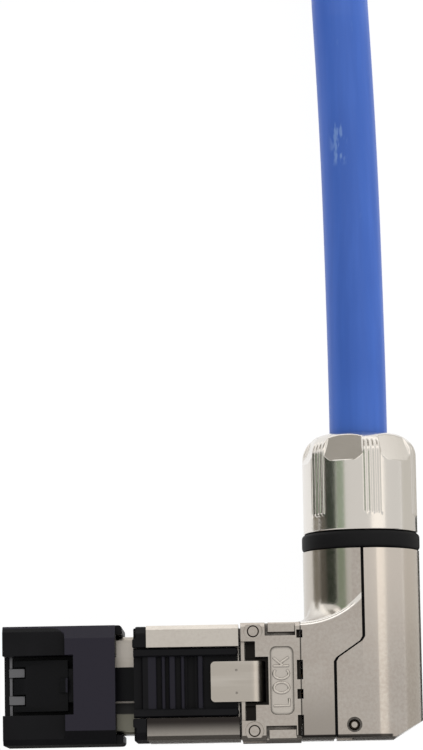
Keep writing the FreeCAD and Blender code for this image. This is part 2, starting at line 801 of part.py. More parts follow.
def union_nut():
    seat_y = nut_end - nut_end_wall
    outline = [(nut_start, nut_bore), (nut_start, nut_flange),
               (nut_start + nut_flange_length, nut_flange), (nut_start + nut_flange_length + 0.1, nut_radius)]
    outline += nut_dome()
    outline += [(nut_end, nut_mouth), (seat_y, nut_mouth), (seat_y, nut_seat_radius),
                (seat_y - nut_cone_length, nut_bore)]
    body = turned(outline)
    panel_angle = 360.0 / nut_lands - nut_land_angle
    panel_start = nut_start + nut_flange_length + 0.2
    ledge = nut_end - nut_dome_length - 0.65
    panel = spun(turned(((panel_start, nut_radius - nut_panel_depth), (panel_start, nut_radius + 1),
                         (ledge, nut_radius + 1), (ledge, nut_radius - nut_panel_depth)), panel_angle),
                 -panel_angle / 2)
    facet_low = (nut_radius + 0.12) * math.cos(math.radians(panel_angle / 2))
    wedge = spun(turned(((ledge + 0.05, 1.0), (ledge + 0.05, nut_radius + 2), (nut_end + 1, nut_radius + 2),
                         (nut_end + 1, 1.0)), panel_angle), -panel_angle / 2)
    facet_outline = ((ledge, facet_low), (nut_end - 0.2, facet_low - nut_facet_depth),
                     (nut_end + 1, facet_low - 2.0),
                     (nut_end + 1, nut_radius + 3), (ledge, nut_radius + 3))
    wire = Part.makePolygon([V(-6, y, neck_axis_z + r) for y, r in facet_outline]
                            + [V(-6, facet_outline[0][0], neck_axis_z + facet_outline[0][1])])
    facet = Part.Face(wire).extrude(V(12, 0, 0)).common(wedge)
    groove_wire = Part.makePolygon([
        V(-nut_groove, panel_start + 0.2, neck_axis_z + nut_radius + 0.05),
        V(0, panel_start + 0.2, neck_axis_z + nut_radius - nut_groove_depth),
        V(nut_groove, panel_start + 0.2, neck_axis_z + nut_radius + 0.05),
        V(-nut_groove, panel_start + 0.2, neck_axis_z + nut_radius + 0.05),
    ])
    groove = Part.Face(groove_wire).extrude(V(0, nut_end - 1.2 - panel_start, 0))
    step = 360.0 / nut_lands
    cuts = []
    for i in range(nut_lands):
        land = nut_land_turn + i * step
        cuts.append(spun(panel, land + step / 2))
        cuts.append(spun(facet, land + step / 2))
        for turn in (-nut_land_angle / 4, 0.0, nut_land_angle / 4):
            cuts.append(spun(groove, land + turn))
    return minus(body, cuts)


def seal_insert():
    r0 = cable_radius + 0.02
    r1 = neck_bore - 0.05
    y0 = cable_start_y + 1.4
    y1 = spigot_end - 1.2
    return turned(((y0, r0), (y0, r1), (y1, r1), (y1, r0)))


def clamp_cage():
    y0 = spigot_end - 1.1
    y1 = nut_end - nut_end_wall - thrust_ring_length - 2 * ring_gap
    r0 = cable_radius + cable_play
    r1 = neck_bore - 0.1
    body = turned(((y0, r0), (y0, r1), (spigot_end + 0.1, r1), (y1, nut_seat_radius - 0.3), (y1, r0)))
    slot = block(-0.3, 0.3, spigot_end, y1 + 1, neck_axis_z, neck_axis_z + nut_radius)
    return minus(body, [spun(slot, i * 90.0) for i in range(4)])


def thrust_ring():
    y1 = nut_end - nut_end_wall - ring_gap
    y0 = y1 - thrust_ring_length
    r0 = cable_radius + cable_play + 0.05
    r1 = nut_seat_radius - ring_gap
    return turned(((y0, r0), (y0, r1), (y1, r1), (y1, r0)))


def cable_shield():
    cone_end = shield_start_y + shield_cone
    body = rod(shield_radius, (0, cone_end, neck_axis_z), (0, cable_start_y, neck_axis_z))
    start = V(0, shield_start_y, neck_axis_z)
    cone = Part.makeCone(shield_core_radius, shield_radius, shield_cone, start, V(0, 1, 0))
    return joined([body, cone])


def shield_spring():
    y0 = shield_start_y + 1.7
    r0 = shield_radius + 0.03
    y1 = y0 + 4.0
    return turned(((y0, r0), (y0, r0 + 0.6), (y0 + 1.8, neck_bore - 0.05), (y1, r0 + 0.4), (y1, r0)))


def swept_rod(points, radius, reach_share):
    """Round rod along straight runs joined by tangent arcs, and the radii of the arcs.

    An arc starts at the given share of the shorter of its two runs from its corner.
    """
    points = [V(*p) for p in points]
    edges = []
    radii = []
    start = points[0]
    for before, corner, after in zip(points, points[1:], points[2:]):
        into = corner - before
        out = after - corner
        reach = reach_share * min(into.Length, out.Length)
        into.normalize()
        out.normalize()
        half_turn = into.getAngle(out) / 2
        bend = reach / math.tan(half_turn)
        p0 = corner - into * reach
        p1 = corner + out * reach
        inward = out - into
        inward.normalize()
        middle = corner + inward * (bend / math.cos(half_turn) - bend)
        edges.append(Part.LineSegment(start, p0).toShape())
        edges.append(Part.Arc(p0, middle, p1).toShape())
        radii.append(round(bend, 1))
        start = p1
    edges.append(Part.LineSegment(start, points[-1]).toShape())
    path = Part.Wire(edges)
    circle = Part.Wire([Part.Circle(points[0], points[1] - points[0], radius).toShape()])
    tube = path.makePipeShell([circle], True, False)
    section = math.pi * radius ** 2 * path.Length
    return tube, radii, path.Length, tube.Volume / section


def wire_core(y, z, corner_x, angle):
    """One core, many-sided: out of the loader along the plug, round the elbow, then into the braid."""
    end_x = core_ring_radius * math.cos(angle)
    end_y = shield_start_y - core_end_gap
    end_z = neck_axis_z + core_ring_radius * math.sin(angle)
    cut = min(0.6 * (end_y - y), 2.5)
    start = V(cover_front_x + 1.2, y, z)
    path = Part.makePolygon([start, V(corner_x - cut, y, z), V(corner_x, y + cut, z), V(end_x, end_y, end_z)])
    sides = 8
    ring_points = []
    for i in range(sides + 1):
        turn = 2 * math.pi * (i + 0.5) / sides
        ring_points.append(start + V(0, math.cos(turn), math.sin(turn)) * (core_diameter / 2))
    mitred = 1
    tube = path.makePipeShell([Part.makePolygon(ring_points)], True, False, mitred)
    return tube


def wire_cores():
    """Eight cores: the row nearest the plug's low side takes the outside of the bend."""
    pieces = []
    step = math.pi / 4
    for i, (y, way) in enumerate(idc_rows()):
        rank = i % 4
        corner_x = core_corner_pitch * (1.5 - rank)
        pieces.append(wire_core(y, core_height(way), corner_x, (rank + 0.5) * step * way))
    return solids_group(pieces)


def cable_run():
    """Tube along the cable's route, with its bends and volume printed."""
    tube, radii, length, share = swept_rod(cable_route, cable_radius, 0.45)
    print("cable run", round(length, 2), "radii", radii, "volume share", round(share, 5))
    return tube


def coil_centre():
    """Middle of the coil: its outer turn continues the cable's last run."""
    last = cable_route[-1]
    return V(last[0] - coil_mean_radius - cable_radius, coil_centre_y, 0)


def ring(inner, outer, z0, z1, start, end):
    """Part of a many-sided flat ring round the coil's middle, between two angles."""
    steps = math.ceil((end - start) / coil_facet_angle)
    turns = [math.radians(start + (end - start) * i / steps) for i in range(steps + 1)]
    outline = [(outer * math.cos(a), outer * math.sin(a)) for a in turns]
    outline += [(inner * math.cos(a), inner * math.sin(a)) for a in reversed(turns)]
    return plan(outline, z0, z1).translated(coil_centre())


def coil_top():
    """Height of the turns that lie flat on each other."""
    return coil_layers * cable_diameter + coil_slack


def cable_coil():
    """Two turns side by side in each layer, and on them the half turn that ends at the far plug."""
    inner = coil_mean_radius - cable_diameter - coil_slack
    outer = coil_mean_radius + cable_diameter + coil_slack
    turns = [ring(inner, outer, 0, coil_top(), 0.0, 180.0), ring(inner, outer, 0, coil_top(), 180.0, 360.0)]
    last_half = ring(
        coil_mean_radius - coil_slack, outer, coil_top(), coil_top() + cable_diameter,
        coil_climb_angle, coil_end_angle,
    )
    last = cable_route[-1]
    entry = rod(cable_radius, last, (last[0], coil_centre_y, last[2]))
    return joined(turns + [last_half, entry])


def far_frame(shape):
    """Carry a shape from the far plug's own frame, cable end at the origin and nose along +X, to the coil."""
    angle = math.radians(coil_end_angle)
    r = coil_mean_radius + cable_radius
    copy = shape.copy()
    copy.rotate(V(0, 0, 0), V(0, 0, 1), coil_end_angle + 90.0)
    copy.translate(coil_centre() + V(r * math.cos(angle), r * math.sin(angle), coil_top() + cable_radius))
    return copy


def far_z():
    """Height of the far nose's underside, above the cable's middle."""
    return -nose_height / 2


def far_plug_boot():
    r = cable_radius
    points = [V(0, 0, 0), V(0, 0, r + 0.8), V(far_boot_length, 0, r - 0.1), V(far_boot_length, 0, 0)]
    body = Part.Face(Part.makePolygon(points + [points[0]])).revolve(V(0, 0, 0), V(1, 0, 0), 360)
    flat = block(-1, far_boot_length + 1, -2 * r, 2 * r, -3 * r, -r)
    return far_frame(minus(body, [flat]))


def far_plug_shell():
    x0 = far_boot_length
    x1 = x0 + far_nose_length
    z0 = far_z()
    outer = block(x0, x1, -nose_half, nose_half, z0, z0 + nose_height)
    outer = outer.makeFillet(0.5, long_edges(outer, V(1, 0, 0), lambda p: True))
    inner = block(x0 + 0.3, x1, -nose_half + shell_wall, nose_half - shell_wall,
                  z0 + shell_wall, z0 + nose_height - shell_wall)
    mouth = block(x1 - 8.0, x1, -4.35, 4.35, z0, z0 + shell_wall)
    top_cut = block(x1 - 15.0, x1, -3.3, 3.3, z0 + nose_height - shell_wall, z0 + nose_height)
    return far_frame(minus(outer, [inner, mouth, top_cut]))


def far_plug_insert():
    x0 = far_boot_length + 0.35
    x1 = far_boot_length + far_nose_length
    half = nose_half - shell_wall - 0.05
    low = far_z() + shell_wall + 0.05
    high = far_z() + nose_height - shell_wall - 0.05
    body = block(x0, x1, -half, half, low, high)
    slot_x = x1 - blade_inset - blade_length - 0.1
    slot_top = low + blade_height + 0.3
    slots = [block(slot_x, x1, y - blade_slot / 2, y + blade_slot / 2, low, slot_top) for y in blade_rows()]
    latch_outline = ((x1 - 0.4, high - 0.4), (x1 - 0.4, high + 0.9), (x1 - 7.0, high + 1.9), (x1 - 14.0, high + 2.9),
                     (x1 - 14.0, high + 1.9), (x1 - 2.0, high - 0.1), (x1 - 2.0, high - 0.4))
    first = V(latch_outline[0][0], -3.05, latch_outline[0][1])
    wire = Part.makePolygon([V(x, -3.05, z) for x, z in latch_outline] + [first])
    latch = Part.Face(wire).extrude(V(0, 6.1, 0))
    return far_frame(joined([minus(body, slots), latch]))


def far_plug_contacts():
    x1 = far_boot_length + far_nose_length
    low = far_z() + shell_wall + 0.1
    x0 = x1 - blade_inset - blade_length
    plate = block(x0, x1 - blade_inset, -blade_thickness / 2, blade_thickness / 2, low, low + blade_height)
    return far_frame(solids_group([plate.translated(V(0, y, 0)) for y in blade_rows()]))


parts = {
    "dust_cap": dust_cap,
    "plug_shield": plug_shield,
    "contact_carrier": contact_carrier,
    "contact_blades": contact_blades,
    "circuit_board": circuit_board,
    "idc_block": idc_block,
    "idc_terminals": idc_terminals,
    "wire_manager": wire_manager,
    "wire_cores": wire_cores,
    "front_collar": front_collar,
    "latch_lever": latch_lever,
    "front_body": front_body,
    "lock_cover": lock_cover,
    "cover_pin_left": lambda: cover_pin(pin_y),
    "cover_pin_right": lambda: cover_pin(-pin_y),
    "lock_clip": lock_clip,
    "angled_housing": angled_housing,
    "rear_cover": rear_cover,
    "hinge_pin": hinge_pin,
    "neck_seal": neck_seal,
    "union_nut": union_nut,
    "seal_insert": seal_insert,
    "clamp_cage": clamp_cage,
    "thrust_ring": thrust_ring,
    "cable_shield": cable_shield,
    "shield_spring": shield_spring,
    "cable_run": cable_run,
    "cable_coil": cable_coil,
    "far_plug_boot": far_plug_boot,
    "far_plug_shell": far_plug_shell,
    "far_plug_insert": far_plug_insert,
    "far_plug_contacts": far_plug_contacts,
}

os.makedirs("parts", exist_ok=True)
for name, make in parts.items():
    shape = make()
    shape.exportStep("parts/" + name + ".step")
    print(name, "solids", len(shape.Solids), "valid", shape.isValid(), "volume", round(shape.Volume, 2))
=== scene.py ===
import json
import math
import bpy
import bmesh
import numpy as np
from mathutils import Euler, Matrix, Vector


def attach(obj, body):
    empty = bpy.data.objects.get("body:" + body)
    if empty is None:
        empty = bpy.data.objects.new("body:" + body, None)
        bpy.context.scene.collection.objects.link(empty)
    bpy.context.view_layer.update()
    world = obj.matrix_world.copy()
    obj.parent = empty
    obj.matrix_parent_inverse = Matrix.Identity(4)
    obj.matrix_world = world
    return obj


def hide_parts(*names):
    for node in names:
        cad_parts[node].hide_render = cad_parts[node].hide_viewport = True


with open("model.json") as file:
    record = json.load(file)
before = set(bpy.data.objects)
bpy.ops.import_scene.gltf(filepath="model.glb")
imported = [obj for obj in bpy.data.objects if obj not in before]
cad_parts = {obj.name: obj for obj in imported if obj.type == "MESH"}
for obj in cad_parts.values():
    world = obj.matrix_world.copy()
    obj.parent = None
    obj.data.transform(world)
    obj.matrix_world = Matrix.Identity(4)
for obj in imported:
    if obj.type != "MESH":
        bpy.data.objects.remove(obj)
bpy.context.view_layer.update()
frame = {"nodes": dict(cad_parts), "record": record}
nodes = frame["nodes"]
scene = bpy.context.scene
mm = 0.001
print("frame loaded:", len(nodes), "nodes")

lensView = {
    "place": (-10.29, -22.10, 442.4),      # millimetres, over the latch side
    "turn": (7.806, 1.110, -0.944),        # degrees about X, Y, Z
    "focal": 3600.0, "frameHeight": 750,   # both in pixels
    "sensor": 24.0,
    "near": 0.01, "far": 5,                # metres
}


def addCamera(spec):
    camera = bpy.data.cameras.new("camera")
    camera.sensor_fit = "VERTICAL"
    camera.sensor_height = spec["sensor"]
    camera.lens = spec["focal"] / spec["frameHeight"] * spec["sensor"]
    camera.clip_start = spec["near"]
    camera.clip_end = spec["far"]
    eye = bpy.data.objects.new("camera", camera)
    scene.collection.objects.link(eye)
    eye.location = Vector(spec["place"]) * mm
    eye.rotation_euler = Euler([math.radians(a) for a in spec["turn"]], "XYZ")
    scene.camera = eye


addCamera(lensView)
print("camera set")

casting = {
    # what the pieces below share with the model's castings, in millimetres
    "top": 14.3,                                      # upper face of the housing
    "neckAxis": 7.25,                                 # height of the neck's axis
    "arcCentre": (-7.55, 16.8), "arcRadius": 9.8,     # the shoulder's curved wall, in plan
}


def linkMesh(name, points, faces, smooth=True):
    # points in millimetres
    mesh = bpy.data.meshes.new(name)
    mesh.from_pydata((np.asarray(points, float) * mm).tolist(), [], [tuple(f) for f in faces])
    mesh.polygons.foreach_set("use_smooth", np.full(len(mesh.polygons), smooth))
    mesh.update()
    piece = bpy.data.objects.new(name, mesh)
    scene.collection.objects.link(piece)
    return piece


def gridFaces(rows, columns, closedRows, closedColumns):
    # quads between neighbouring points of a grid stored row by row; a closed side meets its own start
    r = np.arange(rows if closedRows else rows - 1)
    c = np.arange(columns if closedColumns else columns - 1)
    r, c = np.meshgrid(r, c, indexing="ij")
    r2, c2 = (r + 1) % rows, (c + 1) % columns
    return np.stack([r * columns + c, r * columns + c2, r2 * columns + c2, r2 * columns + c], -1).reshape(-1, 4)


def turnOutwards(piece, creaseAngle=None):
    # faces point out of the closed shape; edges sharper than the crease angle, in radians, stay hard
    shape = bmesh.new()
    shape.from_mesh(piece.data)
    bmesh.ops.recalc_face_normals(shape, faces=shape.faces)
    if creaseAngle is not None:
        for edge in shape.edges:
            edge.smooth = edge.calc_face_angle(0) < creaseAngle
    shape.to_mesh(piece.data)
    shape.free()


def aroundNeck(length, radius, angle):
    # a point at a distance along the neck, a radius and an angle from the top towards +X
    return np.stack([radius * np.sin(angle), length, casting["neckAxis"] + radius * np.cos(angle)], -1)


def smoothStep(x, low, high):
    # 0 below low, 1 above high and 3t^2 - 2t^3 between them
    t = np.clip((x - low) / (high - low), 0, 1)
    return t * t * (3 - 2 * t)


cable = {
    "radius": 3.5,
    "thin": 0.001,                 # radius of the spline's points; the bevel is as much deeper
    # the route of the cable out of the neck, straight as far as the nut's mouth
    "route": [(0, 14.1, 7.25), (0, 24, 7.25), (0, 40, 7.25), (-0.35, 68, 4.4), (-1.4, 92, 3.52), (-1.4, 109, 3.52)],
    "coilCentre": (-39.9, 133.0),
    # round the coil: angle, radius and height of each station; between two of them the line eases over
    "stations": [(0, 38.5, 3.52), (300, 38.5, 3.52), (360, 31.35, 3.52), (600, 31.35, 3.52), (660, 31.35, 10.6),
                 (900, 31.35, 10.6), (960, 38.5, 10.6), (1200, 38.5, 10.6), (1260, 38.5, 17.8), (1443, 38.5, 17.8)],
    "pointsPerTurn": 16,
    "alongSteps": 10, "roundSteps": 10,
    "length": 1.017,               # metres
}


def eased(angle, stations, column):
    # the value of one column at an angle: smoothstep from each station to the next
    table = np.array(stations, float)
    i = np.clip(np.searchsorted(table[:, 0], angle, "right") - 1, 0, len(table) - 2)
    here, there = table[i], table[i + 1]
    return here[:, column] + (there[:, column] - here[:, column]) * smoothStep(angle, here[:, 0], there[:, 0])


def coilPoints(spec):
    # a control point stands outside its circle by 1 / cos(half a step), so that the spline's own line runs on it
    step = 360 / spec["pointsPerTurn"]
    end = spec["stations"][-1][0]
    angle = np.arange(step / 2, end - step / 4, step)
    out = math.cos(math.radians(step / 2))
    radius = eased(angle, spec["stations"], 1) / out
    height = eased(angle, spec["stations"], 2)
    a = np.radians(angle)
    cx, cy = spec["coilCentre"]
    points = np.stack([cx + radius * np.cos(a), cy + radius * np.sin(a), height], 1)
    r, low = spec["stations"][0][1:]
    first = [(cx + r, cy - r * math.tan(math.radians(step / 2)), low)]
    e = math.radians(end)
    r, high = spec["stations"][-1][1:]
    last = [(cx + r * math.cos(e), cy + r * math.sin(e), high)]
    return first + points.tolist() + last


def addCable(spec):
    points = spec["route"] + coilPoints(spec)
    curve = bpy.data.curves.new("cableJacket", "CURVE")
    curve.dimensions = "3D"
    spline = curve.splines.new("NURBS")
    spline.points.add(len(points) - 1)
    spline.points.foreach_set("co", np.column_stack([np.array(points) * mm, np.ones(len(points))]).ravel())
    spline.points.foreach_set("radius", np.full(len(points), spec["thin"]))
    spline.order_u = 3
    spline.use_endpoint_u = True
    spline.resolution_u = spec["alongSteps"]
    curve.bevel_depth = spec["radius"] * mm / spec["thin"]
    curve.bevel_resolution = spec["roundSteps"]
    curve.use_fill_caps = True
    piece = bpy.data.objects.new("cableJacket", curve)
    scene.collection.objects.link(piece)
    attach(piece, "root")
    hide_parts("cable_run", "cable_coil")
    return piece


cableJacket = addCable(cable)
print("cable laid")

# copies of the castings and mouldings whose sharp edges are broken as the real ones are
roundings = {
    # node: piece, body, width of the rounding in millimetres, steps
    "front_body": ("frontCasting", "root", 0.16, 2),
    "lock_cover": ("lockCasting", "root", 0.12, 2),
    "angled_housing": ("elbowCasting", "root", 0.14, 2),
    "rear_cover": ("rearCasting", "root", 0.16, 2),
    "front_collar": ("collarMoulding", "root", 0.14, 2),
    "dust_cap": ("capMoulding", "dust_cap", 0.2, 3),
    "latch_lever": ("leverMoulding", "latch_lever", 0.1, 2),
    "plug_shield": ("shieldSheet", "root", 0.05, 1),
}
edgeSearch = {"weld": 1e-7, "flat": 0.5, "sharp": 28, "lowSide": -6.75, "near": 0.05, "onArc": 0.06}


def onTop(p):
    return p.z > casting["top"] - edgeSearch["near"]


def onLowSide(p):
    return p.y < edgeSearch["lowSide"] and onTop(p)


def onRim(p):
    x, y = casting["arcCentre"]
    return abs(math.hypot(p.x - x, p.y - y) - casting["arcRadius"]) < edgeSearch["onArc"] and onTop(p)


# edges that are rounded more than the rest: which points, width, steps
broadEdges = {
    "angled_housing": [(onLowSide, 0.6, 6), (onRim, 0.5, 6)],
    "rear_cover": [(onLowSide, 0.34, 5)],
}


def roundedCopy(node, spec):
    name, body, width, steps = spec
    mesh = nodes[node].data.copy()
    mesh.name = name
    shape = bmesh.new()
    shape.from_mesh(mesh)
    bmesh.ops.remove_doubles(shape, verts=shape.verts, dist=edgeSearch["weld"])
    bmesh.ops.dissolve_limit(shape, angle_limit=math.radians(edgeSearch["flat"]), verts=shape.verts, edges=shape.edges)
    for picked, broad, rows in broadEdges.get(node, []):
        edges = [e for e in shape.edges if all(picked(v.co / mm) for v in e.verts)]
        bmesh.ops.bevel(shape, geom=edges, offset=broad * mm, offset_type="OFFSET", segments=rows, profile=0.5,
                        affect="EDGES", clamp_overlap=False, loop_slide=False)
    shape.to_mesh(mesh)
    shape.free()
    if mesh.has_custom_normals:
        mesh.attributes.remove(mesh.attributes["custom_normal"])
    mesh.polygons.foreach_set("use_smooth", np.full(len(mesh.polygons), True))
    piece = bpy.data.objects.new(name, mesh)
    scene.collection.objects.link(piece)
    bevel = piece.modifiers.new("brokenEdges", "BEVEL")
    bevel.width = width * mm
    bevel.segments = steps
    bevel.limit_method = "ANGLE"
    bevel.angle_limit = math.radians(edgeSearch["sharp"])
    bevel.use_clamp_overlap = True
    bevel.harden_normals = True
    bevel.miter_outer = "MITER_ARC"
    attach(piece, body)
    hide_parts(node)
    return piece


castings = {node: roundedCopy(node, spec) for node, spec in roundings.items()}
print("castings rounded")

nut = {
    # millimetres along the neck, radii and depths
    "start": 17.85, "end": 29.9,
    "bore": 6.05, "radius": 6.98, "mouth": 3.8, "mouthEdge": 0.1, "mouthSoft": 0.06, "seat": 4.7,
    "endWall": 1.0, "seatSlope": 2.3,
    "collarEnd": 19.6, "collarRadius": 6.9, "collarFade": 0.18, "collarEdge": 0.12,
    "domeLength": 2.8, "domeEnd": 4.0,
    "panelDepth": 0.08, "ledge": 26.3, "ledgeLength": 0.55, "ledgeRows": 6,
    "facetTop": 6.7, "facetDrop": 1.35, "facetShort": 0.2, "clearOfFacet": 10,
    "ribs": 4, "ribDepth": 0.11, "ribStart": 19.7, "ribRise": 0.35, "ribEnd": 29.2, "ribFall": 1.2,
    # degrees round the neck
    "lands": 6, "landTurn": 12.0, "landAngle": 18.8, "landEdge": (0.4, 0.5),
    "across": 720, "stations": 90, "crowding": 1.15,
}


def nutRadius(length, angle, spec):
    # domed cylinder; between the lands it is sunk a little, and flat facets cut the dome there; the lands carry ribs
    domeStart = spec["end"] - spec["domeLength"]
    s = np.clip((length - domeStart) / spec["domeLength"], 0, 1)
    dome = spec["radius"] - (spec["radius"] - spec["domeEnd"]) * (1 - np.sqrt(np.maximum(1 - s * s, 0)))
    collar = 1 - smoothStep(length, spec["collarEnd"], spec["collarEnd"] + spec["collarFade"])
    base = dome + (spec["collarRadius"] - spec["radius"]) * collar
    step = 360 / spec["lands"]
    fromLand = (np.degrees(angle) - spec["landTurn"] + step / 2) % step - step / 2
    half = spec["landAngle"] / 2
    inner, outer = spec["landEdge"]
    panel = smoothStep(np.abs(fromLand), half - inner, half + outer)
    fromPanel = np.radians(step / 2 - np.abs(fromLand))
    plain = base - panel * spec["panelDepth"] * (1 - collar)
    t = np.clip((length - spec["ledge"]) / (spec["end"] - spec["facetShort"] - spec["ledge"]), 0, 2)
    facet = (spec["facetTop"] - spec["facetDrop"] * t) / np.cos(fromPanel)
    facet = facet + spec["clearOfFacet"] * (1 - smoothStep(length, spec["ledge"] - spec["ledgeLength"], spec["ledge"]))
    cut = np.where(panel > 0, np.minimum(plain, facet * panel + plain * (1 - panel)), plain)
    wave = 0.5 - 0.5 * np.cos(2 * np.pi * spec["ribs"] * (fromLand + half) / spec["landAngle"])
    onLand = (1 - panel) * smoothStep(length, spec["ribStart"], spec["ribStart"] + spec["ribRise"])
    onLand = onLand * (1 - smoothStep(length, spec["ribEnd"] - spec["ribFall"], spec["ribEnd"]))
    return cut - spec["ribDepth"] * (1 - wave) * onLand


def addNut(spec):
    # rows run along the outside from collar to mouth and back through the bore; the grid closes both ways
    angle = np.linspace(0, 2 * np.pi, spec["across"], endpoint=False)
    t = np.linspace(0, 1, spec["stations"])
    first = spec["start"] + spec["collarEdge"]
    outside = first + (spec["end"] - first) * (1 - (1 - t) ** spec["crowding"])
    ledge = spec["ledge"] - spec["ledgeLength"] * np.linspace(0, 1, spec["ledgeRows"])
    outside = np.sort(np.concatenate([outside, ledge]))
    grid = nutRadius(outside[:, None], angle[None, :], spec)
    length = np.repeat(outside[:, None], spec["across"], 1)
    seat = spec["end"] - spec["endWall"]
    inside = [(spec["end"], spec["mouth"] + spec["mouthSoft"]), (spec["end"] - spec["mouthEdge"], spec["mouth"]),
              (seat, spec["mouth"]), (seat, spec["seat"]), (seat - spec["seatSlope"], spec["bore"]),
              (spec["start"], spec["bore"]), (spec["start"], spec["collarRadius"] - spec["collarEdge"])]
    inside = np.repeat(np.array(inside)[:, :, None], spec["across"], 2)
    length = np.concatenate([length, inside[:, 0]])
    grid = np.concatenate([grid, inside[:, 1]])
    points = aroundNeck(length, grid, np.repeat(angle[None, :], len(grid), 0))
    faces = gridFaces(len(grid), spec["across"], True, True)
    piece = linkMesh("glandNut", points.reshape(-1, 3), faces)
    sharp = piece.modifiers.new("normals", "WEIGHTED_NORMAL")
    sharp.keep_sharp = True
    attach(piece, "union_nut")
    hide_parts("union_nut")
    return piece


glandNut = addNut(nut)
print("nut made")

sealRing = {"start": 15.7, "end": 17.8, "inner": 6.02, "outer": 7.12, "soft": 0.5, "cornerRows": 7, "across": 240}


def addSealRing(spec):
    # a rounded rectangle carried round the neck
    corner = np.radians(np.linspace(0, 90, spec["cornerRows"]))
    s = spec["soft"]
    rise = [(spec["start"] + s - s * np.cos(a), spec["outer"] - s + s * np.sin(a)) for a in corner]
    fall = [(spec["end"] - s + s * np.sin(a), spec["outer"] - s + s * np.cos(a)) for a in corner]
    section = np.array([(spec["start"], spec["inner"])] + rise + fall + [(spec["end"], spec["inner"])])
    angle = np.linspace(0, 2 * np.pi, spec["across"], endpoint=False)
    points = aroundNeck(np.repeat(section[:, :1], spec["across"], 1), np.repeat(section[:, 1:], spec["across"], 1),
                        np.repeat(angle[None, :], len(section), 0))
    piece = linkMesh("neckRing", points.reshape(-1, 3), gridFaces(len(section), spec["across"], True, True))
    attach(piece, "root")
    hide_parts("neck_seal")
    return piece


neckRing = addSealRing(sealRing)
print("seal ring made")

shoulder = {
    # millimetres, but "from" in degrees off the top of the neck and "crease" in radians
    "neck": 7.05, "top": 6.53, "hollow": 2.7, "thinnest": (0.02, 0.005), "sunk": 0.15,
    "from": 22.6, "levelAt": 0.001, "fade": (0.06, 0.6), "rows": 140, "steps": 16, "crease": 0.6,
}


def addShoulder(spec):
    # hollow between the neck and the shoulder's curved wall. Along each line of the neck it rises as
    # h = R - sqrt(R^2 - s^2) until it meets the wall, or the wall's rim where that is nearer
    turn = np.radians(np.linspace(spec["from"], 180 - spec["from"], spec["rows"]))
    upright = np.maximum(np.abs(np.cos(turn)), spec["levelAt"])
    leastHollow, leastRise = spec["thinnest"]
    hollow = np.maximum(spec["hollow"] * smoothStep(upright, *spec["fade"]), leastHollow)
    rise = np.clip(spec["top"] / upright - spec["neck"], leastRise, hollow)
    run = np.sqrt(hollow ** 2 - (hollow - rise) ** 2)
    cx, cy = casting["arcCentre"]

    def wallAt(out):
        return cy - np.sqrt(casting["arcRadius"] ** 2 - (-out * np.sin(turn) - cx) ** 2)

    def place(out, y):
        return np.stack([-out * np.sin(turn), y, casting["neckAxis"] + out * np.cos(turn)], 1)

    wall = wallAt(spec["neck"] + rise)
    rows = []
    for t in np.linspace(0, 1, spec["steps"]):
        s = t * run
        rows.append(place(spec["neck"] + hollow - np.sqrt(np.maximum(hollow ** 2 - s ** 2, 0)), wall + run - s))
    rows.append(place(spec["neck"] - spec["sunk"], wall - spec["sunk"]))
    ring = np.stack(rows, 1)
    ends = np.stack([ring[0].mean(0), ring[-1].mean(0)])
    count = ring.shape[1]
    faces = gridFaces(len(ring), count, False, True).tolist()
    last = len(ring) * count
    faces += [[last, (k + 1) % count, k] for k in range(count)]
    faces += [[last + 1, last - count + k, last - count + (k + 1) % count] for k in range(count)]
    piece = linkMesh("shoulderBlend", np.concatenate([ring.reshape(-1, 3), ends]), faces)
    turnOutwards(piece, spec["crease"])
    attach(piece, "root")
    return piece


shoulderBlend = addShoulder(shoulder)
print("shoulder blended")


def arcStroke(centre, start, end, count, across=0.46, up=0.5):
    # part of an oval as tall as the letter's square; the angles are in radians
    return [(centre + across * math.cos(a), up + up * math.sin(a)) for a in np.linspace(start, end, count)]


padWord = {
    # strokes of each letter on a unit square, along the word and up
    "letters": [
        [[(0, 1), (0, 0), (0.62, 0)]],
        [arcStroke(0.5, 0, 2 * math.pi, 25)],
        [arcStroke(0.52, 0.85, 5.43, 20)],
        [[(0, 0), (0, 1)], [(0.72, 1), (0, 0.36)], [(0.24, 0.58), (0.76, 0)]],
    ],
    "starts": (-2.98, -1.52, 0.12, 1.74),      # along +Y, millimetres
    "width": 1.36, "height": 1.80, "baseline": -9.04, "stroke": 0.19, "roundSteps": 5, "floor": 13.99, "sunk": 0.09,
}


def addWord(spec):
    # raised strokes on the sunk pad, read from the cap side upwards: letter tops towards -X
    word = bpy.data.curves.new("padLetters", "CURVE")
    word.dimensions = "3D"
    height = spec["floor"] - spec["sunk"]
    for start, strokes in zip(spec["starts"], spec["letters"]):
        for stroke in strokes:
            line = word.splines.new("POLY")
            line.points.add(len(stroke) - 1)
            for point, (u, v) in zip(line.points, stroke):
                point.co = (spec["baseline"] * mm - v * spec["height"] * mm, (start + u * spec["width"]) * mm,
                            height * mm, 1)
    word.bevel_depth = spec["stroke"] * mm
    word.bevel_resolution = spec["roundSteps"]
    word.use_fill_caps = True
    holder = bpy.data.objects.new("padLetters", word)
    scene.collection.objects.link(holder)
    bpy.context.view_layer.update()
    mesh = bpy.data.meshes.new_from_object(holder)
    bpy.data.objects.remove(holder)
    mesh.polygons.foreach_set("use_smooth", np.full(len(mesh.polygons), True))
    piece = bpy.data.objects.new("padLetters", mesh)
    scene.collection.objects.link(piece)
    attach(piece, "root")
    return piece


padLetters = addWord(padWord)
print("pad letters raised")

seam = {
    # the joint between the housing and its rear cover in plan, from the low end to the neck
    "line": [(-3.5, -6.7), (-3.5, 2.15), (-3.2, 2.65), (-0.35, 4.6), (-0.05, 5.1), (-0.05, 15.6)],
    "half": 0.155, "low": 12.9, "high": 13.7,
}


